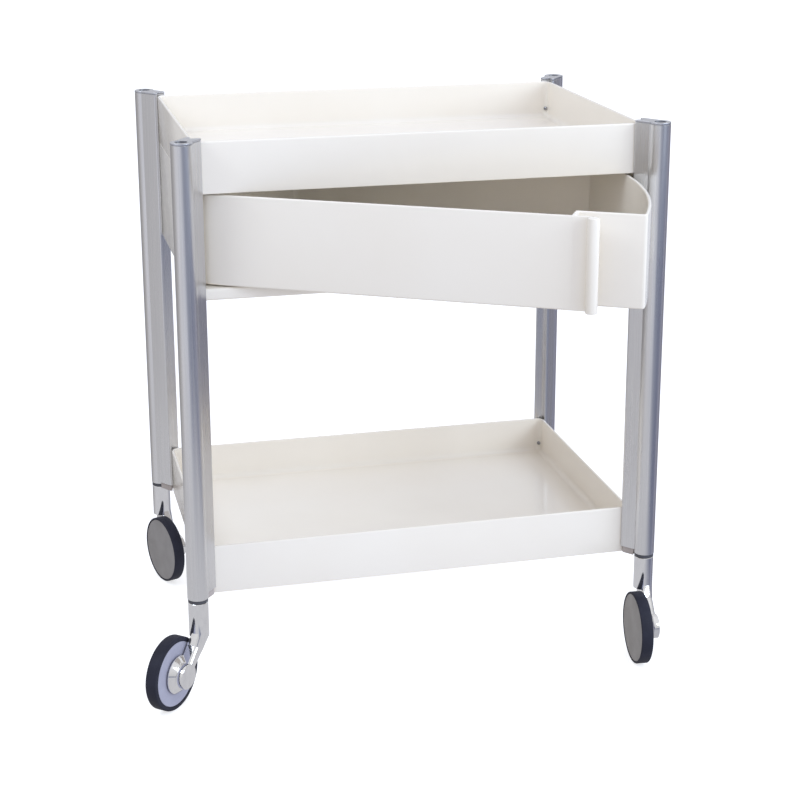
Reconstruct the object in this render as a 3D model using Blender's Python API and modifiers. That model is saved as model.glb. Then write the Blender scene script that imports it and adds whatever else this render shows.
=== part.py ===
"""Rolling salon trolley: two cast trays on four aluminium posts, a swing-out drawer and four single-arm casters.

Metres, +Z up, floor at z = 0. The trolley's front faces -Y. The empty "trolley_frame" shifts the trolley so that
the middle of its bounding box, with the drawer part open and the casters as they stand, lies over the origin.
"""

from math import acos, atan2, cos, degrees, hypot, pi, radians, sin

import bmesh
import bpy
from mathutils import Matrix, Vector

FRAME_SHIFT = (0.02864, 0.1037, 0.0)
GAP = 0.0003  # air between pieces that touch

# Trays
TRAY_W, TRAY_D, TRAY_H = 0.600, 0.400, 0.067
TRAY_CORNER_R, TRAY_WALL = 0.012, 0.004
TRAY_FLOOR_DROP, TRAY_FLOOR_T = 0.054, 0.004
TRAY_COVE_R, TRAY_RIM_R = 0.008, 0.0013
TOP_RIM_Z, LOWER_RIM_Z = 0.751, 0.206

# Posts, seen at one tray corner: (a, b) run outward from the end face and from the long face
POST_TOP_Z, POST_FOOT_Z, WEB_FOOT_Z = 0.753, 0.145, 0.149
TUBE_R, TUBE_BORE_R, TUBE_AT = 0.014, 0.008, (0.015, 0.023)
WEB_GRIP, WEB_LIP, WEB_NOSE_R = 0.012, 0.0042, 0.0012
CAP_T = 0.003

# Drawer bay
SHELF_TOP_Z, SHELF_H, PANEL_T = 0.561, 0.016, 0.004
DRAWER_BOTTOM_Z, DRAWER_TOP_Z = 0.563, 0.6815
PIVOT_AT = (-0.270, -0.173)
DRAWER_OPEN_DEG = 29.5
DRAWER_WALL, DRAWER_FLOOR_T, DRAWER_CORNER_R = 0.0045, 0.004, 0.018
DRAWER_BACK_Y, DRAWER_SWEEP_R, DRAWER_STEP_X, DRAWER_STEP_Y = 0.181, 0.5543, 0.1995, -0.163
SWEEP_END_R = 0.006  # the rounding where the front step meets the swept end
LIP_BEAD_AT, LIP_BEAD_R = (0.2243, -0.1965), 0.0075
PIVOT_ROD_R, PIVOT_BOSS_R = 0.004, 0.0085

# Casters
STEM_R, STEM_TOP_Z, STEM_FOOT_Z, STEM_PIN_R, STEM_PIN_H = 0.0134, 0.140, 0.0875, 0.0076, 0.045
STEM_STEP_Z, STEM_STEP_N = 0.0925, -0.0034  # the stem is cut higher on the wheel's side
TRAIL, WHEEL_R, TREAD_EDGE = 0.042, 0.050, 0.0010
WHEEL_OUTER, WHEEL_INNER = -0.0255, -0.0092  # wheel's two faces, measured across the trail
ARM_OUTER, ARM_INNER, ARM_HALF_W, ARM_BEVEL, SKIN = 0.0093, -0.0070, 0.0105, 0.0042, 0.0001
HUB_OUTER, HUB_INNER, HUB_R, HUB_EDGE = 0.0095, -0.0072, 0.0170, 0.0008
FLANGE_R, FLANGE_T, NECK_R, NECK_N = 0.0260, 0.0015, 0.0186, 0.0012  # the hub's cone, widest beside the wheel
SHOULDER_Z, SHOULDER_RUN = (0.0985, 0.0915), 0.017  # stem heights and arm length that the shoulder joins
AXLE_R = 0.005
CASTERS = {"front_left": 229.3, "front_right": 265.3, "back_left": 290.1, "back_right": 282.0}  # trail headings

CORNERS = {"front_left": (-1, -1), "front_right": (1, -1), "back_left": (-1, 1), "back_right": (1, 1)}

COLOURS = {
    "cast_white": ((0.83, 0.82, 0.79), 0.16, 0.0),
    "panel_white": ((0.80, 0.79, 0.76), 0.25, 0.0),
    "aluminium": ((0.62, 0.63, 0.67), 0.30, 1.0),
    "cap_grey": ((0.40, 0.41, 0.44), 0.35, 1.0),
    "block_beige": ((0.50, 0.45, 0.42), 0.50, 0.0),
    "steel": ((0.60, 0.60, 0.61), 0.25, 1.0),
    "nylon": ((0.75, 0.74, 0.70), 0.50, 0.0),
    "collar_black": ((0.03, 0.03, 0.035), 0.40, 0.0),
    "chrome": ((0.80, 0.80, 0.81), 0.12, 1.0),
    "disc_lavender": ((0.45, 0.46, 0.58), 0.45, 0.0),
    "cover_grey": ((0.30, 0.28, 0.26), 0.50, 0.0),
    "tyre_black": ((0.025, 0.025, 0.035), 0.60, 0.0),
}


def clear_scene():
    for obj in list(bpy.data.objects):
        bpy.data.objects.remove(obj, do_unlink=True)


def make_collection(name, hidden=False):
    made = bpy.data.collections.new(name)
    bpy.context.scene.collection.children.link(made)
    made.hide_render = hidden
    return made


def make_material(name):
    colour, roughness, metallic = COLOURS[name]
    made = bpy.data.materials.new(name)
    made.use_nodes = True
    made.diffuse_color = (*colour, 1.0)
    shader = made.node_tree.nodes["Principled BSDF"]
    shader.inputs["Base Color"].default_value = (*colour, 1.0)
    shader.inputs["Roughness"].default_value = roughness
    shader.inputs["Metallic"].default_value = metallic
    return made


def add_object(name, data, collection, material=None, parent=None, at=(0, 0, 0)):
    made = bpy.data.objects.new(name, data)
    collection.objects.link(made)
    made.location = at
    made.parent = parent
    if material:
        data.materials.clear()
        data.materials.append(material)
    return made


def add_empty(name, at, parent=None, turn_deg=0.0):
    made = bpy.data.objects.new(name, None)
    PARTS.objects.link(made)
    made.location = at
    made.rotation_euler.z = radians(turn_deg)
    made.parent = parent
    made.empty_display_size = 0.03
    return made


def as_cutter(obj):
    obj.hide_render = True
    obj.display_type = "WIRE"
    return obj


def smooth(obj, angle_deg=35.0):
    obj.data.shade_smooth()
    obj.data.set_sharp_from_angle(angle=radians(angle_deg))
    return obj


def add_modifier(obj, kind, name, **settings):
    made = obj.modifiers.new(name, kind)
    for key, value in settings.items():
        setattr(made, key, value)
    return made


def cut(obj, *cutters, operation="DIFFERENCE"):
    for cutter in cutters:
        add_modifier(obj, "BOOLEAN", cutter.name, operation=operation, object=cutter)
    return obj


def soften(obj, width, segments=2, angle_deg=50.0):
    """Rounded edges, from a Bevel on every edge sharper than the angle."""
    add_modifier(obj, "BEVEL", "edges", width=width, segments=segments, limit_method="ANGLE",
                 angle_limit=radians(angle_deg), use_clamp_overlap=True)
    return obj


def block_mesh(name, low, high, upright_r=0.0, lower_r=0.0, upper_r=0.0, segments=4):
    """A box between two corners, with its upright, bottom and top edges rounded."""
    mesh = bpy.data.meshes.new(name)
    work = bmesh.new()
    bmesh.ops.create_cube(work, size=1.0)
    size = Vector(high) - Vector(low)
    middle = (Vector(high) + Vector(low)) / 2
    bmesh.ops.scale(work, vec=size, verts=work.verts)
    bmesh.ops.translate(work, vec=middle, verts=work.verts)
    if upright_r:
        upright = [e for e in work.edges if abs(e.verts[0].co.z - e.verts[1].co.z) > size.z / 2]
        bmesh.ops.bevel(work, geom=upright, offset=upright_r, segments=segments, profile=0.5, affect="EDGES")
    for radius, level in ((lower_r, low[2]), (upper_r, high[2])):
        if radius:
            ring = [e for e in work.edges if all(abs(v.co.z - level) < 1e-5 for v in e.verts)]
            bmesh.ops.bevel(work, geom=ring, offset=radius, segments=3, profile=0.5, affect="EDGES")
    bmesh.ops.recalc_face_normals(work, faces=work.faces)
    work.to_mesh(mesh)
    work.free()
    return mesh


def cylinder_mesh(name, radius, low_z, high_z, segments=32):
    mesh = bpy.data.meshes.new(name)
    work = bmesh.new()
    bmesh.ops.create_cone(work, cap_ends=True, segments=segments, radius1=radius, radius2=radius,
                          depth=high_z - low_z)
    bmesh.ops.translate(work, vec=(0, 0, (low_z + high_z) / 2), verts=work.verts)
    work.to_mesh(mesh)
    work.free()
    return mesh


def outline_mesh(name, points, low_z, high_z, holes=()):
    """A flat outline of (x, y) points, with any holes, filled and extruded between two heights."""
    curve = bpy.data.curves.new(name, "CURVE")
    curve.dimensions = "2D"
    curve.fill_mode = "BOTH"
    curve.extrude = (high_z - low_z) / 2
    for ring in (points, *holes):
        spline = curve.splines.new("POLY")
        spline.points.add(len(ring) - 1)
        for point, (x, y) in zip(spline.points, ring):
            point.co = (x, y, 0.0, 1.0)
        spline.use_cyclic_u = True
    guide = bpy.data.objects.new(name + "_guide", curve)
    bpy.context.scene.collection.objects.link(guide)
    bpy.context.view_layer.update()
    evaluated = guide.evaluated_get(bpy.context.evaluated_depsgraph_get())
    mesh = bpy.data.meshes.new_from_object(evaluated)
    mesh.name = name
    bpy.data.objects.remove(guide, do_unlink=True)
    work = bmesh.new()
    work.from_mesh(mesh)
    bmesh.ops.remove_doubles(work, verts=work.verts, dist=1e-6)
    bmesh.ops.translate(work, vec=(0, 0, (low_z + high_z) / 2), verts=work.verts)
    bmesh.ops.recalc_face_normals(work, faces=work.faces)
    work.to_mesh(mesh)
    work.free()
    return mesh


def arc(centre, radius, start_deg, end_deg, steps):
    """Points along an arc, both ends included."""
    turns = [radians(start_deg + (end_deg - start_deg) * i / steps) for i in range(steps + 1)]
    return [(centre[0] + radius * cos(t), centre[1] + radius * sin(t)) for t in turns]


def turned(name, profile, collection, material, parent, at=(0, 0, 0), steps=32, axis_turn=None):
    """A profile of (radius, z) points, given down its outer side, turned about Z."""
    mesh = bpy.data.meshes.new(name)
    work = bmesh.new()
    verts = [work.verts.new((r, 0.0, z)) for r, z in profile]
    for first, second in zip(verts, verts[1:]):
        work.edges.new((first, second))
    if profile[0][0] > 0 or profile[-1][0] > 0:
        work.edges.new((verts[-1], verts[0]))
    work.to_mesh(mesh)
    work.free()
    made = add_object(name, mesh, collection, material, parent, at)
    add_modifier(made, "SCREW", "turn", axis="Z", angle=2 * pi, steps=steps, render_steps=steps,
                 use_merge_vertices=True, merge_threshold=0.00001, use_smooth_shade=True)
    if axis_turn:
        made.rotation_euler = axis_turn
    return made


# Trays ---------------------------------------------------------------------------------------------------------

def corner_screw_line(corner, z):
    """The screw's placing: it points from the tray's rounded corner, on the diagonal, into the post."""
    sx, sy = corner
    centre = Vector((sx * (TRAY_W / 2 - TRAY_CORNER_R), sy * (TRAY_D / 2 - TRAY_CORNER_R), z))
    turn = Vector((sx, sy, 0)).to_track_quat("Z", "Y").to_matrix().to_4x4()
    return Matrix.Translation(centre) @ turn


SCREW_HEAD_R, SCREW_SHANK_R, SCREW_HOLE_R = 0.003, 0.0018, 0.0022
SCREW_HEAD_FROM, SCREW_HEAD_TO, SCREW_TIP = 0.0056, 0.0070, 0.0275
SCREW_BELOW_RIM = 0.041


def screw_heights():
    return {"top": TOP_RIM_Z - SCREW_BELOW_RIM, "lower": LOWER_RIM_Z - SCREW_BELOW_RIM}


def screw_cutter(name, placing, tip):
    made = as_cutter(add_object(name, cylinder_mesh(name, SCREW_HOLE_R, 0.002, tip, 12), CUTTERS))
    made.matrix_world = placing
    return made


def build_tray(name, rim_z, screw_z):
    low = (-TRAY_W / 2, -TRAY_D / 2, rim_z - TRAY_H)
    high = (TRAY_W / 2, TRAY_D / 2, rim_z)
    tray = add_object(name, block_mesh(name, low, high, TRAY_CORNER_R), PARTS, MATERIALS["cast_white"], FRAME)
    inset = Vector((TRAY_WALL, TRAY_WALL, 0))
    floor_z = rim_z - TRAY_FLOOR_DROP
    bowl = block_mesh(name + "_bowl", (*(Vector(low) + inset).xy, floor_z),
                      (*(Vector(high) - inset).xy, rim_z + 0.02), TRAY_CORNER_R - TRAY_WALL, TRAY_COVE_R - 0.0005)
    skirt = block_mesh(name + "_skirt", (*(Vector(low) + inset).xy, low[2] - 0.02),
                       (*(Vector(high) - inset).xy, floor_z - TRAY_FLOOR_T), TRAY_CORNER_R - TRAY_WALL, segments=3)
    cut(tray, *(as_cutter(add_object(mesh.name, mesh, CUTTERS, parent=FRAME)) for mesh in (bowl, skirt)))
    soften(tray, TRAY_RIM_R)
    for corner_name, corner in CORNERS.items():
        hole = screw_cutter(f"{name}_{corner_name}_hole", corner_screw_line(corner, screw_z), 0.016)
        hole.parent = FRAME
        cut(tray, hole)
    return smooth(tray)


def build_corner_screws():
    profile = [(0.0, SCREW_HEAD_FROM), (SCREW_HEAD_R * 0.7, SCREW_HEAD_FROM + 0.0001),
               (SCREW_HEAD_R, SCREW_HEAD_FROM + 0.0006), (SCREW_HEAD_R, SCREW_HEAD_TO),
               (SCREW_SHANK_R, SCREW_HEAD_TO), (SCREW_SHANK_R, SCREW_TIP), (0.0, SCREW_TIP)]
    for level, z in screw_heights().items():
        for corner_name, corner in CORNERS.items():
            made = turned(f"screw_{level}_{corner_name}", profile[::-1], PARTS, MATERIALS["steel"], FRAME, steps=12)
            made.matrix_basis = corner_screw_line(corner, z)


# Posts ---------------------------------------------------------------------------------------------------------

def to_corner(points, corner):
    """(a, b) points at a corner, turned into (x, y) and kept anticlockwise."""
    sx, sy = corner
    placed = [(sx * (TRAY_W / 2 + a), sy * (TRAY_D / 2 + b)) for a, b in points]
    return placed if sx * sy > 0 else placed[::-1]


def web_outline():
    """The V that grips the tray's corner, with its arms' tips and its two flanks running into the tube."""
    tube = Vector(TUBE_AT)
    side = tube + Vector((-0.0136, -0.0028))
    under = tube + Vector((0.0058, -0.0124))
    nose = WEB_NOSE_R
    return [(GAP, GAP), (-WEB_GRIP, GAP), (-WEB_GRIP, WEB_LIP - nose), (-WEB_GRIP + nose, WEB_LIP),
            tuple(side), tuple(tube), tuple(under),
            (WEB_LIP, -WEB_GRIP + nose), (WEB_LIP - nose, -WEB_GRIP), (GAP, -WEB_GRIP)]


def tube_centre(corner):
    sx, sy = corner
    return (sx * (TRAY_W / 2 + TUBE_AT[0]), sy * (TRAY_D / 2 + TUBE_AT[1]))


def section_object(name, corner, web_z, tube_z, collection, material):
    """The post's whole section between two heights: the V and the tube, joined."""
    web = outline_mesh(name, to_corner(web_outline(), corner), *web_z)
    made = add_object(name, web, collection, material, FRAME)
    tube = as_cutter(add_object(name + "_tube", cylinder_mesh(name + "_tube", TUBE_R, *tube_z, 30), CUTTERS,
                                parent=FRAME, at=(*tube_centre(corner), 0)))
    bore = as_cutter(add_object(name + "_bore",
                                cylinder_mesh(name + "_bore", TUBE_BORE_R, tube_z[0] - 0.01, tube_z[1] + 0.01, 18),
                                CUTTERS, parent=FRAME, at=(*tube_centre(corner), 0)))
    cut(made, tube, operation="UNION")
    return cut(made, bore)


def build_post(corner_name, corner):
    post = section_object(f"post_{corner_name}", corner, (WEB_FOOT_Z, POST_TOP_Z), (POST_FOOT_Z, POST_TOP_Z),
                          PARTS, MATERIALS["aluminium"])
    for level, z in screw_heights().items():
        hole = screw_cutter(f"post_{corner_name}_{level}_hole", corner_screw_line(corner, z), SCREW_TIP + 0.0004)
        hole.parent = FRAME
        cut(post, hole)
    smooth(post, 28)
    cap_z = (POST_TOP_Z + GAP, POST_TOP_Z + CAP_T)
    cap = section_object(f"post_cap_{corner_name}", corner, cap_z, cap_z, PARTS, MATERIALS["cap_grey"])
    smooth(soften(cap, 0.0006, 1), 28)


def build_corner_block(corner_name, corner):
    """A small moulding under the web's cut end, level with the lower tray's bottom edge."""
    reach, front = 0.009, 0.0038
    outline = [(GAP * 2, GAP * 2), (-reach, GAP * 2), (-reach, front), *arc(TUBE_AT, TUBE_R + 0.0008, 204, 274, 6),
               (front, -reach), (GAP * 2, -reach)]
    low_z = LOWER_RIM_Z - TRAY_H
    mesh = outline_mesh(f"corner_block_{corner_name}", to_corner(outline, corner), low_z, WEB_FOOT_Z - GAP)
    add_object(mesh.name, mesh, PARTS, MATERIALS["block_beige"], FRAME)


# Drawer bay ----------------------------------------------------------------------------------------------------

def build_bay():
    white = MATERIALS["panel_white"]
    half_w, half_d = TRAY_W / 2, TRAY_D / 2
    low_z, top_z = SHELF_TOP_Z - SHELF_H, TOP_RIM_Z - TRAY_H - GAP
    side = PANEL_T + GAP
    shelf = add_object("drawer_shelf", block_mesh("drawer_shelf", (-half_w + side, -half_d, low_z),
                                                  (half_w - side, half_d, SHELF_TOP_Z)),
                       PARTS, MATERIALS["cast_white"], FRAME)
    hollow = block_mesh("shelf_hollow", (-half_w + side + PANEL_T, -half_d + 0.010, low_z - 0.02),
                        (half_w - side - PANEL_T, half_d - PANEL_T, SHELF_TOP_Z - PANEL_T), 0.004, segments=2)
    cut(shelf, as_cutter(add_object("shelf_hollow", hollow, CUTTERS, parent=FRAME)))
    smooth(soften(shelf, 0.0015))
    for name, x in (("side_panel_left", -half_w), ("side_panel_right", half_w - PANEL_T)):
        mesh = block_mesh(name, (x, -half_d, low_z), (x + PANEL_T, half_d, top_z))
        smooth(soften(add_object(name, mesh, PARTS, white, FRAME), 0.0008, 1))
    mesh = block_mesh("back_panel", (-half_w + side, half_d - PANEL_T, SHELF_TOP_Z + GAP),
                      (half_w - side, half_d, top_z))
    smooth(soften(add_object("back_panel", mesh, PARTS, white, FRAME), 0.0008, 1))


def build_pivot():
    at = (*PIVOT_AT, 0)
    rod_top = TOP_RIM_Z - TRAY_FLOOR_DROP - TRAY_FLOOR_T - GAP
    rod = cylinder_mesh("pivot_rod", PIVOT_ROD_R, SHELF_TOP_Z + GAP, rod_top, 20)
    smooth(soften(add_object("pivot_rod", rod, PARTS, MATERIALS["steel"], FRAME, at), 0.0005, 1))
    inner, outer = PIVOT_ROD_R + GAP, PIVOT_BOSS_R
    for name, low, high in (("pivot_washer_lower", SHELF_TOP_Z + GAP, DRAWER_BOTTOM_Z - GAP),
                            ("pivot_washer_upper", DRAWER_TOP_Z + GAP, DRAWER_TOP_Z + GAP + 0.0014)):
        ring = [(inner, high), (outer, high), (outer, low), (inner, low)]
        turned(name, ring, PARTS, MATERIALS["nylon"], FRAME, at, steps=24)
    for name, at in (("glide_front", (0.02, -0.180)), ("glide_middle", (0.0, -0.02)), ("glide_side", (-0.150, 0.040))):
        disc = cylinder_mesh(name, 0.007, SHELF_TOP_Z + GAP, DRAWER_BOTTOM_Z - GAP, 20)
        smooth(soften(add_object(name, disc, PARTS, MATERIALS["nylon"], FRAME, (*at, 0)), 0.0004, 1))


def drawer_outline(inset):
    """The closed drawer's plan about its pivot, all walls moved in by inset."""
    px, py = PIVOT_AT
    corner_r = DRAWER_CORNER_R - inset
    sweep_r = DRAWER_SWEEP_R - inset
    back = DRAWER_BACK_Y - inset - py
    step_x, step_y = DRAWER_STEP_X - inset - px, DRAWER_STEP_Y + inset - py
    back_r = 0.010
    end_deg = degrees(atan2(step_y, (sweep_r ** 2 - step_y ** 2) ** 0.5))
    top_deg = degrees(acos(min(1.0, (sweep_r ** 2 - back ** 2) ** 0.5 / sweep_r)))
    points = arc((0, 0), corner_r, 180, 270, 6)
    points += [(step_x, -corner_r), (step_x, step_y)]
    sweep = arc((0, 0), sweep_r, end_deg, top_deg, 14)
    end, before = Vector(sweep[0]), Vector((-1, 0)) * SWEEP_END_R
    after = (Vector(sweep[1]) - end).normalized() * SWEEP_END_R
    points += [tuple(end + before * (1 - t) ** 2 + after * t ** 2) for t in (0, 0.25, 0.5, 0.75, 1)]
    points += sweep[1:]
    points += arc((-corner_r + back_r, back - back_r), back_r, 90, 180, 4)
    return points


def build_drawer():
    hinge = add_empty("drawer_hinge", (*PIVOT_AT, 0), FRAME, -DRAWER_OPEN_DEG)
    drawer = add_object("drawer", outline_mesh("drawer", drawer_outline(0), DRAWER_BOTTOM_Z, DRAWER_TOP_Z),
                        PARTS, MATERIALS["cast_white"], hinge)
    hollow = outline_mesh("drawer_hollow", drawer_outline(DRAWER_WALL), DRAWER_BOTTOM_Z + DRAWER_FLOOR_T,
                          DRAWER_TOP_Z + 0.02)
    px, py = PIVOT_AT
    neck = block_mesh("lip_neck", (DRAWER_STEP_X - DRAWER_WALL - px, -DRAWER_CORNER_R, DRAWER_BOTTOM_Z),
                      (LIP_BEAD_AT[0] - px, -DRAWER_CORNER_R + DRAWER_WALL, DRAWER_TOP_Z))
    bead = cylinder_mesh("lip_bead", LIP_BEAD_R, DRAWER_BOTTOM_Z, DRAWER_TOP_Z, 24)
    boss = cylinder_mesh("pivot_boss", PIVOT_BOSS_R, DRAWER_BOTTOM_Z + 0.001, DRAWER_TOP_Z, 24)
    bore = cylinder_mesh("pivot_bore", PIVOT_ROD_R + GAP, DRAWER_BOTTOM_Z - 0.01, DRAWER_TOP_Z + 0.01, 20)
    rib = block_mesh("pivot_rib", (-DRAWER_CORNER_R + 0.001, -0.0015, DRAWER_BOTTOM_Z + 0.001),
                     (-PIVOT_ROD_R - 0.002, 0.0015, DRAWER_TOP_Z - 0.004))
    helpers = {}
    for mesh, at in ((hollow, (0, 0, 0)), (neck, (0, 0, 0)), (boss, (0, 0, 0)), (bore, (0, 0, 0)), (rib, (0, 0, 0)),
                     (bead, (LIP_BEAD_AT[0] - px, LIP_BEAD_AT[1] - py, 0))):
        helpers[mesh.name] = as_cutter(add_object(mesh.name, mesh, CUTTERS, parent=hinge, at=at))
    cut(drawer, helpers["drawer_hollow"])
    cut(drawer, *(helpers[name] for name in ("pivot_boss", "pivot_rib", "lip_neck", "lip_bead")), operation="UNION")
    cut(drawer, helpers["pivot_bore"])
    smooth(drawer)


# Casters -------------------------------------------------------------------------------------------------------

def arm_line():
    """Where the arm leaves the stem, and its direction down to the hub, as (s, z) across the trail."""
    head = Vector((0.001, STEM_FOOT_Z + 0.001))
    return head, (Vector((TRAIL, WHEEL_R)) - head).normalized()


def arm_outline():
    """The arm seen across the trail: (s, z) with s along the trail, a circle inside the hub drawn out to the stem."""
    head, along = arm_line()
    inner_r = HUB_R - 0.0006
    bearing = degrees(atan2(-along.y, -along.x))
    spread = degrees(acos(ARM_HALF_W / inner_r)) * 0.6
    points = arc((TRAIL, WHEEL_R), inner_r, bearing + spread, bearing + 360 - spread, 14)
    across = Vector((along.y, -along.x)) * ARM_HALF_W
    foot, rise = head - across, head + across
    lift = 0.008
    return points + [tuple(foot), (foot.x, foot.y + lift), (rise.x, rise.y + lift), tuple(rise)]


def shoulder_mesh(name):
    """The blend from the stem's round foot into the arm's bevelled section."""
    head, along = arm_line()
    middle, across = head + along * SHOULDER_RUN, Vector((along.y, -along.x))
    work = bmesh.new()
    for z in SHOULDER_Z:
        for s, n in arc((0, 0), STEM_R - SKIN, 0, 360, 28)[:-1]:
            if n > STEM_STEP_N:
                work.verts.new((s, n, z))
    for width, n in ((ARM_HALF_W - SKIN, ARM_INNER + SKIN), (ARM_HALF_W - SKIN, ARM_OUTER - ARM_BEVEL),
                     (ARM_HALF_W - ARM_BEVEL, ARM_OUTER - SKIN)):
        for side in (-1, 1):
            at = middle + across * side * width
            work.verts.new((at.x, n, at.y))
    hull = bmesh.ops.convex_hull(work, input=work.verts)
    spare = {item for key in ("geom_interior", "geom_unused") for item in hull[key] if isinstance(item, bmesh.types.BMVert)}
    bmesh.ops.delete(work, geom=list(spare), context="VERTS")
    bmesh.ops.recalc_face_normals(work, faces=work.faces)
    mesh = bpy.data.meshes.new(name)
    work.to_mesh(mesh)
    work.free()
    return mesh


def bevel_top(mesh, width, segments):
    """Rounds the rim of the mesh's highest flat face."""
    work = bmesh.new()
    work.from_mesh(mesh)
    top = max(v.co.z for v in work.verts)
    rim = [e for e in work.edges if all(abs(v.co.z - top) < 1e-6 for v in e.verts)
           and any(f.normal.z < 0.5 for f in e.link_faces)]
    bmesh.ops.bevel(work, geom=rim, offset=width, segments=segments, profile=0.5, affect="EDGES", clamp_overlap=True)
    work.to_mesh(mesh)
    work.free()


def build_leg(name, swivel):
    """Stem with its pin, the flat arm cranked down from it and the flanged hub, made in one piece."""
    pin_top = STEM_TOP_Z + STEM_PIN_H
    profile = [(0.0, pin_top), (STEM_PIN_R - 0.001, pin_top), (STEM_PIN_R, pin_top - 0.001),
               (STEM_PIN_R, STEM_TOP_Z), (STEM_R, STEM_TOP_Z), (STEM_R, STEM_FOOT_Z + 0.0045),
               (STEM_R - 0.0013, STEM_FOOT_Z + 0.0013), (STEM_R - 0.0045, STEM_FOOT_Z), (0.0, STEM_FOOT_Z)]
    leg = turned(f"caster_leg_{name}", profile, PARTS, MATERIALS["chrome"], swivel, steps=28)
    step = block_mesh(f"stem_step_{name}", (-0.02, -0.02, STEM_FOOT_Z - 0.01), (0.02, STEM_STEP_N, STEM_STEP_Z))
    cut(leg, as_cutter(add_object(step.name, step, CUTTERS, parent=swivel)))
    arm_mesh = outline_mesh(f"caster_arm_{name}", arm_outline(), 0.0, ARM_OUTER - ARM_INNER)
    bevel_top(arm_mesh, ARM_BEVEL, 2)
    arm = as_cutter(add_object(arm_mesh.name, arm_mesh, CUTTERS, parent=swivel))
    arm.matrix_basis = across_trail(ARM_INNER)
    shoulder = as_cutter(add_object(f"caster_shoulder_{name}", shoulder_mesh(f"caster_shoulder_{name}"), CUTTERS,
                                    parent=swivel))
    hub_profile = [(0.0, HUB_OUTER), (HUB_R - HUB_EDGE, HUB_OUTER), (HUB_R, HUB_OUTER - HUB_EDGE), (HUB_R, NECK_N + 0.0004),
                   (NECK_R, NECK_N), (FLANGE_R, HUB_INNER + FLANGE_T), (FLANGE_R, HUB_INNER), (0.0, HUB_INNER)]
    hub = as_cutter(turned(f"caster_hub_{name}", hub_profile, CUTTERS, None, swivel, (TRAIL, 0, WHEEL_R), 32,
                           (-pi / 2, 0, 0)))
    hole = as_cutter(add_object(f"axle_hole_{name}", cylinder_mesh(f"axle_hole_{name}", AXLE_R + GAP, -0.02,
                                                                  ARM_OUTER - ARM_INNER - 0.004, 16),
                                CUTTERS, parent=swivel))
    hole.matrix_basis = across_trail(ARM_INNER) @ Matrix.Translation((TRAIL, WHEEL_R, 0))
    cut(leg, arm, shoulder, hub, operation="UNION")
    cut(leg, hole)
    return smooth(leg)


def across_trail(offset):
    """Turns (s, z, n) shapes drawn in the XY plane upright: s stays along X, drawn y becomes Z, thickness runs to +Y."""
    turn = Matrix(((1, 0, 0, 0), (0, 0, 1, offset), (0, 1, 0, 0), (0, 0, 0, 1)))
    return turn


def build_caster(name, heading_deg):
    corner = CORNERS[name]
    x, y = tube_centre(corner)
    ring_profile = [(STEM_PIN_R + GAP, POST_FOOT_Z - GAP), (TUBE_R - 0.0006, POST_FOOT_Z - GAP),
                    (TUBE_R - 0.0006, STEM_TOP_Z + GAP), (STEM_PIN_R + GAP, STEM_TOP_Z + GAP)]
    turned(f"collar_{name}", ring_profile, PARTS, MATERIALS["collar_black"], FRAME, (x, y, 0), steps=28)
    swivel = add_empty(f"swivel_{name}", (x, y, 0), FRAME, heading_deg)
    build_leg(name, swivel)
    hub = (TRAIL, 0, WHEEL_R)
    tip = WHEEL_INNER - 0.011
    head = ARM_OUTER - 0.0045 - GAP
    axle_profile = [(0.0, head), (AXLE_R - 0.0005, head), (AXLE_R, head - 0.0005), (AXLE_R, tip + 0.0005),
                    (AXLE_R - 0.0005, tip), (0.0, tip)]
    lie = (-pi / 2, 0, 0)
    turned(f"axle_{name}", axle_profile, PARTS, MATERIALS["steel"], swivel, hub, 20, lie)
    spin = add_empty(f"wheel_spin_{name}", hub, swivel)
    disc_r, cover_r = 0.0438, 0.0470
    inner_face, cover_back = WHEEL_INNER - 0.0004, WHEEL_OUTER + 0.0020
    bore_r, bore_end = AXLE_R + GAP, tip - 0.0006
    disc_profile = [(0.0, bore_end), (bore_r, bore_end), (bore_r, inner_face), (disc_r, inner_face),
                    (disc_r, cover_back + GAP), (0.0, cover_back + GAP)]
    turned(f"wheel_disc_{name}", disc_profile, PARTS, MATERIALS["disc_lavender"], spin, (0, 0, 0), 36, lie)
    cover_profile = [(0.0, cover_back), (cover_r, cover_back), (cover_r, WHEEL_OUTER + 0.0004),
                     (0.0, WHEEL_OUTER + 0.0004)]
    turned(f"wheel_cover_{name}", cover_profile, PARTS, MATERIALS["cover_grey"], spin, (0, 0, 0), 36, lie)
    tyre_profile = [(disc_r + GAP, WHEEL_INNER), (WHEEL_R - TREAD_EDGE, WHEEL_INNER),
                    (WHEEL_R, WHEEL_INNER - TREAD_EDGE), (WHEEL_R, WHEEL_OUTER + TREAD_EDGE),
                    (WHEEL_R - TREAD_EDGE, WHEEL_OUTER), (cover_r + GAP, WHEEL_OUTER),
                    (cover_r + GAP, cover_back + GAP), (disc_r + GAP, cover_back + GAP)]
    turned(f"tyre_{name}", tyre_profile, PARTS, MATERIALS["tyre_black"], spin, (0, 0, 0), 44, lie)


clear_scene()
PARTS = make_collection("rolling_salon_trolley")
CUTTERS = make_collection("cutters", hidden=True)
MATERIALS = {name: make_material(name) for name in COLOURS}
FRAME = add_empty("trolley_frame", FRAME_SHIFT)

build_tray("top_tray", TOP_RIM_Z, screw_heights()["top"])
build_tray("lower_tray", LOWER_RIM_Z, screw_heights()["lower"])
build_corner_screws()
for corner_name, corner in CORNERS.items():
    build_post(corner_name, corner)
    build_corner_block(corner_name, corner)
build_bay()
build_pivot()
build_drawer()
for corner_name, heading in CASTERS.items():
    build_caster(corner_name, heading)
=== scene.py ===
from math import acos, atan2, cos, degrees, pi, radians, sin

import bmesh
import bpy
from mathutils import Matrix, Vector


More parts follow.
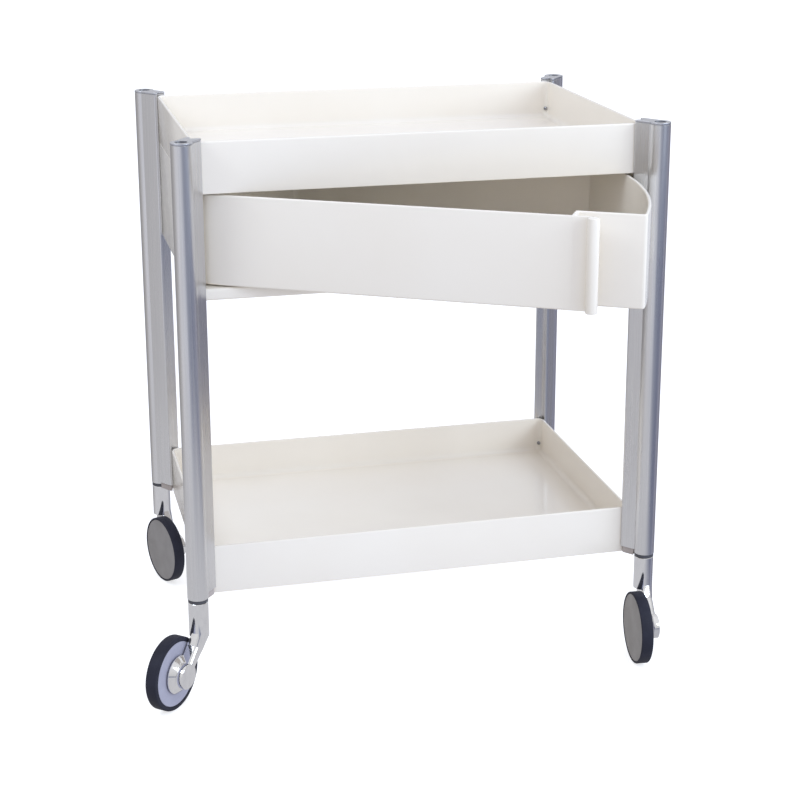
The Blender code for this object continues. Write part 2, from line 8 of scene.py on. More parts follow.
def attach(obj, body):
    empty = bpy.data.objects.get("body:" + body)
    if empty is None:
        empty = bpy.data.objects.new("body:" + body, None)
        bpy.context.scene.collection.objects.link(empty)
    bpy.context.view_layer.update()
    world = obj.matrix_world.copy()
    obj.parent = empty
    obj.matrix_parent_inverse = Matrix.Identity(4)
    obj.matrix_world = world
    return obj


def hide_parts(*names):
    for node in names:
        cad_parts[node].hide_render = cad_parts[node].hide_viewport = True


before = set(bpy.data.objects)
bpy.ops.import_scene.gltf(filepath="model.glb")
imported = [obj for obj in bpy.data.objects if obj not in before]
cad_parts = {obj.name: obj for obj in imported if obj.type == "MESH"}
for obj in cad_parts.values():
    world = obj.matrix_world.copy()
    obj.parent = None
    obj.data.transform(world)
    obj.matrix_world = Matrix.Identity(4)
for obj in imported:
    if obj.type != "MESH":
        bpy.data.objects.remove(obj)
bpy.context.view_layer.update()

# The trolley in plan, about the middle of its trays, in metres; SHIFT takes it to the frame's origin.
SHIFT = Vector((0.02864, 0.1037, 0.0))
TRAY_W, TRAY_D, TRAY_H = 0.600, 0.400, 0.067
TRAY_R, TRAY_WALL, FLOOR_DROP, FLOOR_T, COVE_R = 0.012, 0.004, 0.054, 0.004, 0.008
TOP_RIM_Z, LOWER_RIM_Z = 0.751, 0.206
POST_TOP_Z, POST_FOOT_Z, WEB_FOOT_Z, CAP_TOP_Z = 0.753, 0.145, 0.149, 0.756
TUBE_R, BORE_R, TUBE_AT = 0.014, 0.008, (0.015, 0.023)
WEB_GRIP, WEB_LIP, WEB_END_R, CAP_END_R = 0.012, 0.0042, 0.0004, 0.0014
BLOCK_REACH, BLOCK_FRONT = 0.009, 0.0038
SHELF_TOP_Z, SHELF_H, PANEL_T, PANEL_EDGES = 0.561, 0.016, 0.004, (0.0010, 0.0008)
DRAWER_Z = (0.563, 0.6815)
PIVOT_AT = (-0.270, -0.173)
DRAWER_OPEN_DEG = 29.5
DRAWER_WALL, DRAWER_FLOOR_T, DRAWER_R, DRAWER_SWEEP_R = 0.0045, 0.004, 0.018, 0.5543
DRAWER_BACK_Y, STEP_X, STEP_Y = 0.181, 0.1995, -0.163
LIP_AT, LIP_R = (0.2243, -0.1965), 0.0075
STEM_R, STEM_TOP_Z, STEM_FOOT_Z, STEM_PIN_R = 0.0134, 0.140, 0.0875, 0.0076
STEM_STEP_Z, STEM_STEP_N = 0.0925, -0.0034
TRAIL, WHEEL_R, WHEEL_OUTER, WHEEL_INNER = 0.042, 0.050, -0.0255, -0.0092
ARM_OUTER, ARM_INNER, ARM_HALF_W, ARM_BEVEL, SKIN = 0.0093, -0.0070, 0.0105, 0.0042, 0.0001
HUB_OUTER, HUB_INNER, HUB_R, HUB_EDGE = 0.0095, -0.0072, 0.0170, 0.0008
FLANGE_R, FLANGE_T, NECK_R, NECK_N = 0.0260, 0.0015, 0.0186, 0.0012
SHOULDER_Z, SHOULDER_RUN = (0.0985, 0.0915), 0.017
DISC_R, COVER_R, TREAD_EDGE, AXLE_R, AXLE_HOLE_R = 0.0438, 0.0470, 0.0014, 0.005, 0.0053
SCREW_HEAD_R, SCREW_SHANK_R, SCREW_BELOW_RIM = 0.003, 0.0018, 0.041
SCREW_HEAD_FROM, SCREW_HEAD_TO, SCREW_TIP = 0.0056, 0.0070, 0.0275
ROD_R, ROD_BORE_R, BOSS_R, UPPER_WASHER_T, GLIDE_R = 0.004, 0.0043, 0.0085, 0.0014, 0.007
GLIDES = {"glide_front": (0.02, -0.180), "glide_middle": (0.0, -0.02), "glide_side": (-0.150, 0.040)}
HEADINGS = {"front_left": 229.3, "front_right": 265.3, "back_left": 290.1, "back_right": 282.0}
CORNERS = {"front_left": (-1, -1), "front_right": (1, -1), "back_left": (-1, 1), "back_right": (1, 1)}
# The clearance between neighbouring pieces, a helper's usual place, a wheel's axis turned from +Z to +Y, and the
# angles from which an edge is shaded sharp.
GAP, HERE, LIE = 0.0003, Matrix.Identity(4), Matrix.Rotation(-pi / 2, 4, "X")
SHARP_DEG, LEG_SHARP_DEG, POST_SHARP_DEG, DRAWER_SHARP_DEG = 32.0, 26.0, 24.0, 30.0

PIECES = bpy.data.collections.new("trolley_pieces")
bpy.context.scene.collection.children.link(PIECES)


# Materials -----------------------------------------------------------------------------------------------------

class Nodes:
    """A short way to write a node tree."""

    def __init__(self, tree):
        self.tree = tree

    def add(self, kind, **settings):
        node = self.tree.nodes.new(kind)
        for key, value in settings.items():
            setattr(node, key, value)
        return node

    def link(self, source, target):
        self.tree.links.new(source, target)

    def noise(self, vector, scale, detail=3.0, roughness=0.5):
        node = self.add("ShaderNodeTexNoise")
        self.link(vector, node.inputs["Vector"])
        node.inputs["Scale"].default_value = scale
        node.inputs["Detail"].default_value = detail
        node.inputs["Roughness"].default_value = roughness
        return node.outputs["Fac"]

    def ramp(self, fac, low, high, out_low, out_high):
        node = self.add("ShaderNodeMapRange")
        node.inputs["From Min"].default_value = low
        node.inputs["From Max"].default_value = high
        node.inputs["To Min"].default_value = out_low
        node.inputs["To Max"].default_value = out_high
        self.link(fac, node.inputs["Value"])
        return node.outputs["Result"]

    def mix(self, fac, first, second):
        node = self.add("ShaderNodeMix", data_type="RGBA")
        self.link(fac, node.inputs["Factor"])
        for socket, value in ((node.inputs["A"], first), (node.inputs["B"], second)):
            if isinstance(value, tuple):
                socket.default_value = (*value, 1.0)
            else:
                self.link(value, socket)
        return node.outputs["Result"]

    def math(self, operation, first, second=0.0):
        node = self.add("ShaderNodeMath", operation=operation)
        for socket, value in zip(node.inputs, (first, second)):
            if isinstance(value, (int, float)):
                socket.default_value = value
            else:
                self.link(value, socket)
        return node.outputs["Value"]

    def scaled(self, scale):
        """Object coordinates, stretched along each axis."""
        place = self.add("ShaderNodeTexCoord")
        mapping = self.add("ShaderNodeMapping")
        mapping.inputs["Scale"].default_value = scale
        self.link(place.outputs["Object"], mapping.inputs["Vector"])
        return mapping.outputs["Vector"]

    def bump(self, height, strength, distance, normal=None):
        node = self.add("ShaderNodeBump")
        node.inputs["Strength"].default_value = strength
        node.inputs["Distance"].default_value = distance
        self.link(height, node.inputs["Height"])
        if normal:
            self.link(normal, node.inputs["Normal"])
        return node.outputs["Normal"]


def new_material(name, metallic=0.0, **sockets):
    made = bpy.data.materials.new(name)
    made.use_nodes = True
    shader = made.node_tree.nodes["Principled BSDF"]
    shader.inputs["Metallic"].default_value = metallic
    for socket, value in sockets.items():
        shader.inputs[socket.replace("_", " ")].default_value = value
    return made, Nodes(made.node_tree), shader


def cast_plastic(name, light, dark, rough=(0.13, 0.22)):
    """Glossy cast plastic: slightly uneven colour, a faint ripple from the mould and fine rubbed patches."""
    made, n, shader = new_material(name, Specular_IOR_Level=0.5, Coat_Weight=0.25, Coat_Roughness=0.06)
    place = n.scaled((1, 1, 1))
    clouds = n.noise(place, 5.0, 4.0, 0.55)
    n.link(n.mix(n.ramp(clouds, 0.35, 0.65, 0.0, 1.0), light, dark), shader.inputs["Base Color"])
    rubbed = n.math("ADD", n.math("MULTIPLY", n.noise(place, 28.0, 6.0, 0.6), 0.6),
                    n.math("MULTIPLY", n.noise(n.scaled((90, 14, 30)), 6.0, 4.0, 0.6), 0.4))
    n.link(n.ramp(rubbed, 0.35, 0.68, *rough), shader.inputs["Roughness"])
    ripple = n.bump(n.noise(place, 16.0, 1.0, 0.3), 0.12, 0.0012)
    n.link(n.bump(n.noise(place, 900.0, 2.0, 0.5), 0.05, 0.00008, ripple), shader.inputs["Normal"])
    return made


def drawn_metal(name, light, dark, rough, grain, grain_scale, depth):
    """Metal with fine grain: colour, roughness and bump all follow the drawing lines."""
    made, n, shader = new_material(name, 1.0)
    lines = n.noise(n.scaled(grain), grain_scale, 4.0, 0.6)
    clouds = n.noise(n.scaled((1, 1, 0.4)), 14.0, 3.0, 0.5)
    both = n.math("ADD", n.math("MULTIPLY", lines, 0.7), n.math("MULTIPLY", clouds, 0.3))
    n.link(n.mix(n.ramp(both, 0.36, 0.64, 0.0, 1.0), light, dark), shader.inputs["Base Color"])
    n.link(n.ramp(both, 0.32, 0.68, *rough), shader.inputs["Roughness"])
    n.link(n.bump(lines, depth, 0.00006), shader.inputs["Normal"])
    return made


def moulded(name, light, dark, rough, grain_scale, depth, specular=0.4):
    """Matt moulded plastic or rubber: a fine spark-eroded grain and soft patches of wear."""
    made, n, shader = new_material(name, Specular_IOR_Level=specular)
    place = n.scaled((1, 1, 1))
    clouds = n.noise(place, 30.0, 5.0, 0.6)
    grain = n.noise(place, grain_scale, 3.0, 0.6)
    n.link(n.mix(n.ramp(clouds, 0.35, 0.68, 0.0, 1.0), light, dark), shader.inputs["Base Color"])
    n.link(n.ramp(n.math("ADD", n.math("MULTIPLY", clouds, 0.5), n.math("MULTIPLY", grain, 0.5)),
                  0.3, 0.7, *rough), shader.inputs["Roughness"])
    n.link(n.bump(grain, depth, 0.0002), shader.inputs["Normal"])
    return made


MATERIALS = {
    "cast_white": cast_plastic("cast_white", (0.905, 0.845, 0.745), (0.885, 0.82, 0.715)),
    "panel_white": cast_plastic("panel_white", (0.85, 0.81, 0.735), (0.82, 0.775, 0.695), (0.18, 0.28)),
    "aluminium": drawn_metal("aluminium", (0.735, 0.735, 0.75), (0.645, 0.645, 0.665), (0.24, 0.36),
                             (420, 420, 3), 2.0, 0.25),
    "cap_grey": drawn_metal("cap_grey", (0.58, 0.59, 0.64), (0.49, 0.50, 0.55), (0.34, 0.48),
                            (60, 60, 60), 9.0, 0.15),
    "steel": drawn_metal("steel", (0.40, 0.40, 0.42), (0.31, 0.31, 0.33), (0.18, 0.34),
                         (300, 300, 20), 3.0, 0.15),
    "chrome": drawn_metal("chrome", (0.80, 0.80, 0.815), (0.72, 0.72, 0.745), (0.05, 0.14),
                          (30, 30, 12), 4.0, 0.05),
    # The corner blocks' dull beige is painted shade: the white tray corner under the post's web, coloured darker in
    # place of its shadow.
    "block_beige": moulded("block_beige", (0.47, 0.415, 0.385), (0.39, 0.34, 0.31), (0.42, 0.6), 700.0, 0.2),
    "nylon": moulded("nylon", (0.78, 0.77, 0.73), (0.70, 0.69, 0.64), (0.4, 0.55), 700.0, 0.15),
    "collar_black": moulded("collar_black", (0.075, 0.075, 0.085), (0.05, 0.05, 0.058), (0.3, 0.5),
                            700.0, 0.15),
    "disc_lavender": moulded("disc_lavender", (0.375, 0.37, 0.44), (0.33, 0.325, 0.395), (0.34, 0.5),
                             620.0, 0.18),
    "cover_grey": moulded("cover_grey", (0.29, 0.275, 0.265), (0.245, 0.23, 0.22), (0.38, 0.55),
                          620.0, 0.18),
    "tyre_black": moulded("tyre_black", (0.020, 0.021, 0.036), (0.013, 0.014, 0.025), (0.5, 0.72),
                          460.0, 0.35, specular=0.25),
}


# Mesh helpers --------------------------------------------------------------------------------------------------

def add_piece(name, mesh, slot, body, *nodes, at=(0, 0, 0), turn=None):
    """A finished piece: placed, given its material, tied to its body, and standing for its CAD nodes."""
    if turn:
        mesh.transform(turn)
    made = bpy.data.objects.new(name, mesh)
    PIECES.objects.link(made)
    made.matrix_world = Matrix.Translation(SHIFT + Vector(at))
    mesh.materials.clear()
    mesh.materials.append(MATERIALS[slot])
    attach(made, body)
    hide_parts(*nodes)


def finish_mesh(work, name, angle_deg=SHARP_DEG):
    mesh = bpy.data.meshes.new(name)
    bmesh.ops.recalc_face_normals(work, faces=work.faces)
    work.to_mesh(mesh)
    work.free()
    mesh.shade_smooth()
    mesh.set_sharp_from_angle(angle=radians(angle_deg))
    return mesh


def loft(name, rings, angle_deg=SHARP_DEG):
    """Rings of points joined in turn, with the two ends filled."""
    work = bmesh.new()
    made = [[work.verts.new(point) for point in ring] for ring in rings]
    for low, high in zip(made, made[1:]):
        for i in range(len(low)):
            j = (i + 1) % len(low)
            work.faces.new((low[i], low[j], high[j], high[i]))
    work.faces.new(made[0][::-1])
    work.faces.new(made[-1])
    return finish_mesh(work, name, angle_deg)


def turned(name, profile, steps, angle_deg=SHARP_DEG):
    """A (radius, z) profile turned about Z, closed unless it starts on the axis, where points become poles."""
    work = bmesh.new()
    rings = []
    for r, z in profile:
        if r < 1e-7:
            rings.append([work.verts.new((0, 0, z))])
        else:
            rings.append([work.verts.new((r * cos(2 * pi * i / steps), r * sin(2 * pi * i / steps), z))
                          for i in range(steps)])
    whole = profile[0][0] > 1e-7
    pairs = list(zip(rings, rings[1:])) + ([(rings[-1], rings[0])] if whole else [])
    for low, high in pairs:
        for i in range(steps):
            j = (i + 1) % steps
            corners = [low[i % len(low)], low[j % len(low)], high[j % len(high)], high[i % len(high)]]
            unique = list(dict.fromkeys(corners))
            if len(unique) > 2:
                work.faces.new(unique)
    return finish_mesh(work, name, angle_deg)


def arc(centre, radius, start_deg, end_deg, steps):
    turns = [radians(start_deg + (end_deg - start_deg) * i / steps) for i in range(steps + 1)]
    return [(centre[0] + radius * cos(t), centre[1] + radius * sin(t)) for t in turns]


def fillet(points, radii, steps=5):
    """The corners of a closed outline rounded; radii gives one radius for each point, 0 to leave it sharp."""
    out = []
    for i, (point, radius) in enumerate(zip(points, radii)):
        here = Vector(point)
        if radius <= 0:
            out.append(tuple(here))
            continue
        before, after = Vector(points[i - 1]) - here, Vector(points[(i + 1) % len(points)]) - here
        half = before.angle(after) / 2
        reach = min(radius / max(sin(half) / cos(half), 1e-6), before.length * 0.49, after.length * 0.49)
        start, end = here + before.normalized() * reach, here + after.normalized() * reach
        for k in range(steps + 1):
            t = k / steps
            out.append(tuple(start * (1 - t) ** 2 + here * 2 * t * (1 - t) + end * t ** 2))
    return out


def flat_ring(points, z):
    return [(x, y, z) for x, y in points]


def grown(points, amount):
    """An outline moved out along its corners' normals; it runs anticlockwise."""
    out = []
    for i, point in enumerate(points):
        here = Vector(point)
        first = (here - Vector(points[i - 1])).normalized()
        second = (Vector(points[(i + 1) % len(points)]) - here).normalized()
        normal = Vector((first.y + second.y, -first.x - second.x))
        if normal.length < 1e-6:
            normal = Vector((first.y, -first.x)) * 2
        normal.normalize()
        scale = amount / max(normal.dot(Vector((first.y, -first.x))), 0.5)
        out.append(tuple(here + normal * scale))
    return out


def slab_rings(outline, low_z, high_z, edge, steps=3):
    """Rings for an upright slab whose bottom and top edges are rounded."""
    rings = []
    for k in range(steps + 1):
        t = radians(90 * k / steps)
        rings.append(flat_ring(grown(outline, -edge * (1 - sin(t))), low_z + edge * (1 - cos(t))))
    for k in range(steps + 1):
        t = radians(90 * k / steps)
        rings.append(flat_ring(grown(outline, -edge * (1 - cos(t))), high_z - edge * (1 - sin(t))))
    return rings


def rounded_rect(half_x, half_y, radius, steps=10):
    points = []
    for sx, sy, start in ((1, 1, 0), (-1, 1, 90), (-1, -1, 180), (1, -1, 270)):
        points += arc((sx * (half_x - radius), sy * (half_y - radius)), radius, start, start + 90, steps)
    return points


def cut_mesh(mesh, cutters, operation="DIFFERENCE", angle_deg=SHARP_DEG):
    """The mesh after exact Booleans with each cutter mesh."""
    work = bpy.data.objects.new("work", mesh)
    bpy.context.scene.collection.objects.link(work)
    helpers = []
    for cutter, placing in cutters:
        helper = bpy.data.objects.new("cutter", cutter)
        bpy.context.scene.collection.objects.link(helper)
        helper.matrix_world = placing
        helpers.append(helper)
        modifier = work.modifiers.new("cut", "BOOLEAN")
        modifier.operation, modifier.object, modifier.solver = operation, helper, "EXACT"
    bpy.context.view_layer.update()
    made = bpy.data.meshes.new_from_object(work.evaluated_get(bpy.context.evaluated_depsgraph_get()))
    made.name = mesh.name
    for obj in (work, *helpers):
        bpy.data.objects.remove(obj, do_unlink=True)
    made.shade_smooth()
    made.set_sharp_from_angle(angle=radians(angle_deg))
    return made


# Trays ---------------------------------------------------------------------------------------------------------

def tray_profile(rim_z):
    """(inset, z) from the underside's middle, round the skirt, the rim and the cove to the floor's edge."""
    low, floor_z = rim_z - TRAY_H, rim_z - FLOOR_DROP
    rim_r, foot_r = 0.0018, 0.0010
    points = [(TRAY_WALL, floor_z - FLOOR_T)]
    points += [(x, z) for x, z in reversed(arc((TRAY_WALL - foot_r, low + foot_r), foot_r, -90, 0, 3))]
    points += [(x, z) for x, z in reversed(arc((foot_r, low + foot_r), foot_r, 180, 270, 3))]
    points += [(x, z) for x, z in reversed(arc((rim_r, rim_z - rim_r), rim_r, 90, 180, 5))]
    points += [(x, z) for x, z in reversed(arc((TRAY_WALL - rim_r, rim_z - rim_r), rim_r, 0, 90, 5))]
    points += [(x, z) for x, z in arc((TRAY_WALL + COVE_R, floor_z + COVE_R), COVE_R, 180, 270, 8)]
    return points


def build_tray(name, rim_z):
    rings = []
    for inset, z in tray_profile(rim_z):
        radius = max(TRAY_R - inset, 0.0012)
        rings.append(flat_ring(rounded_rect(TRAY_W / 2 - inset, TRAY_D / 2 - inset, radius), z))
    add_piece(f"{name}_cast", loft(f"{name}_cast", rings), "cast_white", "frame", name)


def screw_mesh():
    """A low domed head with a cross recess, on a smooth shank."""
    crown_z, dome_h = SCREW_HEAD_FROM - 0.0003, 0.0013
    dome = [(0.0, crown_z)]
    dome += [(SCREW_HEAD_R * sin(radians(a)), crown_z + dome_h * (1 - cos(radians(a))))
             for a in range(15, 91, 15)]
    profile = dome + [(SCREW_HEAD_R, SCREW_HEAD_TO), (SCREW_SHANK_R, SCREW_HEAD_TO),
                      (SCREW_SHANK_R, SCREW_TIP), (0.0, SCREW_TIP)]
    head = turned("corner_screw", profile, 40)
    bars = []
    for turn in (0, 90):
        bar = loft("bar", slab_rings(rounded_rect(0.0017, 0.00035, 0.0003, 2), SCREW_HEAD_FROM - 0.002,
                                     SCREW_HEAD_FROM + 0.0006, 0.00005, 1))
        bars.append((bar, Matrix.Rotation(radians(turn), 4, "Z")))
    return cut_mesh(head, bars)


def build_screws():
    mesh = screw_mesh()
    for level, rim_z in (("top", TOP_RIM_Z), ("lower", LOWER_RIM_Z)):
        for corner, (sx, sy) in CORNERS.items():
            at = (sx * (TRAY_W / 2 - TRAY_R), sy * (TRAY_D / 2 - TRAY_R), rim_z - SCREW_BELOW_RIM)
            turn = Vector((sx, sy, 0)).to_track_quat("Z", "Y").to_matrix().to_4x4()
            node = f"screw_{level}_{corner}"
            add_piece(f"{node}_fine", mesh.copy(), "steel", "frame", node, at=at, turn=turn)


# Posts ---------------------------------------------------------------------------------------------------------

def to_corner(points, corner):
    sx, sy = corner
    placed = [(sx * (TRAY_W / 2 + a), sy * (TRAY_D / 2 + b)) for a, b in points]
    return placed if sx * sy > 0 else placed[::-1]


def section_outline(end_r):
    """The whole post section as one line: V, flanks that sweep into the tube, and the tube's outer arc."""
    tube = Vector(TUBE_AT)
    start_deg, end_deg = degrees(atan2(-0.0124, 0.0058)), degrees(atan2(-0.0028, -0.0136))
    round_tube = arc(tube, TUBE_R, start_deg, end_deg + 360, 44)
    points = [(GAP, GAP), (GAP, -WEB_GRIP), (WEB_LIP, -WEB_GRIP), *round_tube,
              (-WEB_GRIP, WEB_LIP), (-WEB_GRIP, GAP)]
    radii = [0.0008, end_r, 0.0016, 0.002, *([0] * (len(round_tube) - 2)), 0.002, 0.0016, end_r]
    return fillet(points, radii, 4)


def tube_centre(corner):
    return (corner[0] * (TRAY_W / 2 + TUBE_AT[0]), corner[1] * (TRAY_D / 2 + TUBE_AT[1]))


def build_post(name, corner):
    outline = to_corner(section_outline(WEB_END_R), corner)
    centre = tube_centre(corner)
    bore = turned("bore", [(0.0, -0.1), (BORE_R, -0.1), (BORE_R, 1.0), (0.0, 1.0)], 48)
    placed = Matrix.Translation((*centre, 0))
    post = loft(f"post_{name}_drawn", slab_rings(outline, WEB_FOOT_Z, POST_TOP_Z, 0.0003, 1), POST_SHARP_DEG)
    foot_edge, foot_top_z = 0.0004, POST_FOOT_Z + 0.02
    foot = turned("foot", [(0.0, POST_FOOT_Z), (TUBE_R - foot_edge, POST_FOOT_Z),
                           (TUBE_R, POST_FOOT_Z + foot_edge), (TUBE_R, foot_top_z), (0.0, foot_top_z)], 88)
    post = cut_mesh(post, [(foot, placed)], "UNION", POST_SHARP_DEG)
    post = cut_mesh(post, [(bore, placed)], angle_deg=POST_SHARP_DEG)
    add_piece(f"post_{name}_drawn", post, "aluminium", "frame", f"post_{name}")
    cap_outline = to_corner(section_outline(CAP_END_R), corner)
    cap_rings = slab_rings(cap_outline, POST_TOP_Z + GAP, CAP_TOP_Z, 0.0005, 3)
    cap = cut_mesh(loft(f"post_cap_{name}_cast", cap_rings), [(bore, placed)])
    add_piece(f"post_cap_{name}_cast", cap, "cap_grey", "frame", f"post_cap_{name}")
    block = [(GAP * 2, GAP * 2), (GAP * 2, -BLOCK_REACH), (BLOCK_FRONT, -BLOCK_REACH),
             *reversed(arc(TUBE_AT, TUBE_R + 0.0008, 204, 274, 10)), (-BLOCK_REACH, BLOCK_FRONT),
             (-BLOCK_REACH, GAP * 2)]
    block_rings = slab_rings(to_corner(block, corner), LOWER_RIM_Z - TRAY_H, WEB_FOOT_Z - GAP, 0.0005, 2)
    block_mesh = loft(f"corner_block_{name}_moulded", block_rings)
    # The block is given the darker beige that paints in the shade under the web.
    add_piece(f"corner_block_{name}_moulded", block_mesh, "block_beige", "frame", f"corner_block_{name}")


# Drawer bay ----------------------------------------------------------------------------------------------------

def box_rings(low, high, corner_r, edge, steps=3):
    """Rings for an upright box with rounded corners in plan and rounded bottom and top edges."""
    middle = ((low[0] + high[0]) / 2, (low[1] + high[1]) / 2)
    half = ((high[0] - low[0]) / 2, (high[1] - low[1]) / 2)

    def ring(inset, z):
        outline = rounded_rect(half[0] - inset, half[1] - inset, max(corner_r - inset, 0.0003), 4)
        return flat_ring([(x + middle[0], y + middle[1]) for x, y in outline], z)

    turns = [radians(90 * k / steps) for k in range(steps + 1)]
    return ([ring(edge * (1 - sin(t)), low[2] + edge * (1 - cos(t))) for t in turns]
            + [ring(edge * (1 - cos(t)), high[2] - edge * (1 - sin(t))) for t in turns])


def build_bay():
    half_w, half_d = TRAY_W / 2, TRAY_D / 2
    low_z, top_z = SHELF_TOP_Z - SHELF_H, TOP_RIM_Z - TRAY_H - GAP
    side = PANEL_T + GAP
    wide = half_w - side
    shelf_rings = box_rings((-wide, -half_d, low_z), (wide, half_d, SHELF_TOP_Z), 0.0012, 0.0035, 5)
    shelf = loft("drawer_shelf_cast", shelf_rings)
    hollow_low = (-wide + PANEL_T, -half_d + 0.010, low_z - 0.02)
    hollow_high = (wide - PANEL_T, half_d - PANEL_T, SHELF_TOP_Z - PANEL_T)
    hollow = loft("hollow", box_rings(hollow_low, hollow_high, 0.004, 0.0015))
    add_piece("drawer_shelf_cast", cut_mesh(shelf, [(hollow, HERE)]), "cast_white", "frame", "drawer_shelf")
    for name, x in (("side_panel_left", -half_w), ("side_panel_right", half_w - PANEL_T)):
        mesh = loft(f"{name}_cast", box_rings((x, -half_d, low_z), (x + PANEL_T, half_d, top_z), *PANEL_EDGES))
        add_piece(f"{name}_cast", mesh, "panel_white", "frame", name)
    mesh = loft("back_panel_cast", box_rings((-wide, half_d - PANEL_T, SHELF_TOP_Z + GAP), (wide, half_d, top_z),
                                             *PANEL_EDGES))
    add_piece("back_panel_cast", mesh, "panel_white", "frame", "back_panel")


def flat_washer(inner, outer, low, high, edge):
    """The (radius, z) profile of a ring whose outer edges are broken."""
    return [(inner, low), (outer - edge, low), (outer, low + edge), (outer, high - edge), (outer - edge, high),
            (inner, high)]


def build_pivot():
    rod_low, rod_top, rod_edge = SHELF_TOP_Z + GAP, TOP_RIM_Z - FLOOR_DROP - FLOOR_T - GAP, 0.0006
    rod = turned("pivot_rod_turned", [(0.0, rod_low), (ROD_R, rod_low), (ROD_R, rod_top - rod_edge),
                                      (ROD_R - rod_edge, rod_top), (0.0, rod_top)], 48)
    add_piece("pivot_rod_turned", rod, "steel", "frame", "pivot_rod", at=(*PIVOT_AT, 0))
    for name, low, high in (("pivot_washer_lower", SHELF_TOP_Z + GAP, DRAWER_Z[0] - GAP),
                            ("pivot_washer_upper", DRAWER_Z[1] + GAP, DRAWER_Z[1] + GAP + UPPER_WASHER_T)):
        ring = flat_washer(ROD_BORE_R, BOSS_R, low, high, 0.0003)
        add_piece(f"{name}_moulded", turned(name, ring, 56), "nylon", "frame", name, at=(*PIVOT_AT, 0))
    low, high = SHELF_TOP_Z + GAP, DRAWER_Z[0] - GAP
    for name, at in GLIDES.items():
        pad = turned(name, [(0.0, low), (GLIDE_R, low), (GLIDE_R, high - 0.0004), (GLIDE_R - 0.0004, high - 0.0001),
                            (GLIDE_R - 0.001, high), (0.0, high)], 56)
        add_piece(f"{name}_moulded", pad, "nylon", "frame", name, at=(*at, 0))


# Drawer --------------------------------------------------------------------------------------------------------

def drawer_outline(inset):
    """The closed drawer's plan about its pivot, its walls moved in by inset, in a constant count of points."""
    px, py = PIVOT_AT
    corner_r = max(DRAWER_R - inset, 0.002)
    sweep_r = DRAWER_SWEEP_R - inset
    left, front, back = -DRAWER_R + inset, -DRAWER_R + inset, DRAWER_BACK_Y - inset - py
    step_x, step_y = STEP_X - inset - px, STEP_Y + inset - py
    back_r = max(0.010 - inset * 0.5, 0.003)
    end_x = (sweep_r ** 2 - step_y ** 2) ** 0.5
    end_deg = degrees(atan2(step_y, end_x))
    top_x = (sweep_r ** 2 - back ** 2) ** 0.5
    top_deg = degrees(atan2(back, top_x))
    points = arc((left + corner_r, front + corner_r), corner_r, 180, 270, 12)
    soft = 0.0016 + inset * 0.35
    points += fillet([(step_x - 0.02, front), (step_x, front), (step_x, step_y), (step_x + 0.02, step_y)],
                     [0, 0.0018 if inset < 0.002 else 0.001, soft, 0], 5)[1:-1]
    sweep = arc((0, 0), sweep_r, end_deg, top_deg, 40)
    points += fillet([(end_x - 0.02, step_y), sweep[0], sweep[1]], [0, max(0.006 - inset, 0.0015), 0], 7)[1:-1]
    points += sweep[1:-1]
    points += fillet([sweep[-2], (top_x, back), (top_x - 0.03, back)], [0, 0.004, 0], 5)[1:-1]
    points += arc((left + back_r, back - back_r), back_r, 90, 180, 6)
    return points


def drawer_profile():
    """(inset, z): from the underside, round the rim, down the inner wall and its cove to the floor."""
    low, high = DRAWER_Z
    foot_r, rim_r, cove_r = 0.0025, 0.0020, 0.006
    floor_z = low + DRAWER_FLOOR_T
    points = list(reversed(arc((foot_r, low + foot_r), foot_r, 180, 270, 4)))
    points += list(reversed(arc((rim_r, high - rim_r), rim_r, 90, 180, 5)))
    points += list(reversed(arc((DRAWER_WALL - rim_r, high - rim_r), rim_r, 0, 90, 5)))
    points += arc((DRAWER_WALL + cove_r, floor_z + cove_r), cove_r, 180, 270, 6)
    return points


def build_drawer():
    px, py = PIVOT_AT
    turn = Matrix.Rotation(radians(-DRAWER_OPEN_DEG), 4, "Z")
    low, high = DRAWER_Z
    tray = loft("drawer_cast", [flat_ring(drawer_outline(inset), z) for inset, z in drawer_profile()])
    step, front = STEP_X - px, -DRAWER_R
    bead = Vector((LIP_AT[0] - px, LIP_AT[1] - py))
    lip = [(step - 0.012, front + 0.0002), (bead.x - 0.0078, front + 0.0002), *arc(bead, LIP_R, 158, 400, 34),
           (bead.x - 0.002, front + DRAWER_WALL), (step - 0.012, front + DRAWER_WALL)]
    radii = [0, 0.0022, *([0] * 35), 0.003, 0]
    lip_mesh = loft("drawer_lip", slab_rings(fillet(lip, radii, 5), low, high, 0.0012, 3))
    boss_low, boss_edge, bore_low, bore_high = low + 0.001, 0.0008, low - 0.01, high + 0.01
    boss = turned("boss", [(0.0, boss_low), (BOSS_R, boss_low), (BOSS_R, high - boss_edge),
                           (BOSS_R - boss_edge, high), (0.0, high)], 56)
    rib_from, rib_to, rib_half = -0.017, -0.006, 0.0015
    rib_plan = [(rib_from, -rib_half), (rib_to, -rib_half), (rib_to, rib_half), (rib_from, rib_half)]
    rib = loft("rib", slab_rings(rib_plan, boss_low, high - 0.004, 0.0003, 1))
    bore = turned("bore", [(0.0, bore_low), (ROD_BORE_R, bore_low), (ROD_BORE_R, bore_high), (0.0, bore_high)], 40)
    mesh = cut_mesh(tray, [(lip_mesh, HERE), (boss, HERE), (rib, HERE)], "UNION", DRAWER_SHARP_DEG)
    mesh = cut_mesh(mesh, [(bore, HERE)], angle_deg=DRAWER_SHARP_DEG)
    mesh.name = "drawer_cast"
    add_piece("drawer_cast", mesh, "cast_white", "drawer", "drawer", at=(px, py, 0), turn=turn)


# Casters -------------------------------------------------------------------------------------------------------

def arm_line():
    head = Vector((0.001, STEM_FOOT_Z + 0.001))
    return head, (Vector((TRAIL, WHEEL_R)) - head).normalized()


